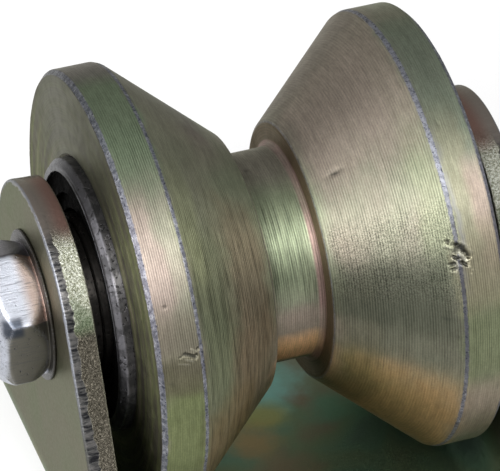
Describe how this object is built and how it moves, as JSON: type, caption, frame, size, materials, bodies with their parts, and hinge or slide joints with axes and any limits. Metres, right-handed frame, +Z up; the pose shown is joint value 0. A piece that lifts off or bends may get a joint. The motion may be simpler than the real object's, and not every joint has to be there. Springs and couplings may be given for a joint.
{
  "type": "v groove wheel",
  "caption": "Turned steel V groove wheel on ball bearings, held by a hex bolt in a bracket bent from plate; rolls along a V or angle track.",
  "frame": {"origin": "middle of the bracket's underside, at the centre of its four fixing holes", "axes": "+X along the axle from the bolt's head to its nut, +Z up from the base to the wheel, +Y along the track"},
  "size_m": [0.0968, 0.0694, 0.0713],
  "materials": {
    "wheel_zinc": "fine turned steel with olive and pink yellow-zinc passivation",
    "bracket_zinc": "bent plate with olive-green yellow-zinc passivation, sheared edges",
    "bolt_zinc": "bright blue-white zinc, lightly brushed",
    "nut_zinc": "pale yellow zinc",
    "turned_steel": "bare turned steel",
    "bearing_steel": "bare ground bearing steel, darkened and lightly pitted",
    "ball_steel": "polished bearing steel",
    "sheet_steel": "pressed sheet steel, dull"
  },
  "bodies": {
    "bracket_assembly": {"bracket": "bracket_zinc", "axle_bolt": "bolt_zinc", "axle_sleeve": "turned_steel", "bearing_spacer": "turned_steel", "side_spacer_left": "turned_steel", "side_spacer_right": "turned_steel", "inner_ring_left": "bearing_steel", "inner_ring_right": "bearing_steel", "flat_washer": "nut_zinc", "spring_washer": "nut_zinc", "axle_nut": "nut_zinc"},
    "wheel": {"wheel_body": "wheel_zinc", "outer_ring_left": "bearing_steel", "outer_ring_right": "bearing_steel", "shield_left_outer": "sheet_steel", "shield_left_inner": "sheet_steel", "shield_right_outer": "sheet_steel", "shield_right_inner": "sheet_steel"},
    "left_cage": {"balls_left": "ball_steel", "cage_left_outer_half": "sheet_steel", "cage_left_inner_half": "sheet_steel", "cage_left_rivets": "sheet_steel"},
    "right_cage": {"balls_right": "ball_steel", "cage_right_outer_half": "sheet_steel", "cage_right_inner_half": "sheet_steel", "cage_right_rivets": "sheet_steel"}
  },
  "joints": [
    {"name": "wheel_spin", "type": "hinge", "parent": "bracket_assembly", "child": "wheel", "pos_m": [0, 0, 0.0388], "axis": [1, 0, 0], "continuous": true},
    {"name": "left_cage_spin", "type": "hinge", "parent": "bracket_assembly", "child": "left_cage", "pos_m": [0, 0, 0.0388], "axis": [1, 0, 0], "continuous": true},
    {"name": "right_cage_spin", "type": "hinge", "parent": "bracket_assembly", "child": "right_cage", "pos_m": [0, 0, 0.0388], "axis": [1, 0, 0], "continuous": true}
  ],
  "couplings": [
    {"joint": "left_cage_spin", "follows": "wheel_spin", "ratio": 0.61842},
    {"joint": "right_cage_spin", "follows": "wheel_spin", "ratio": 0.61842}
  ]
}
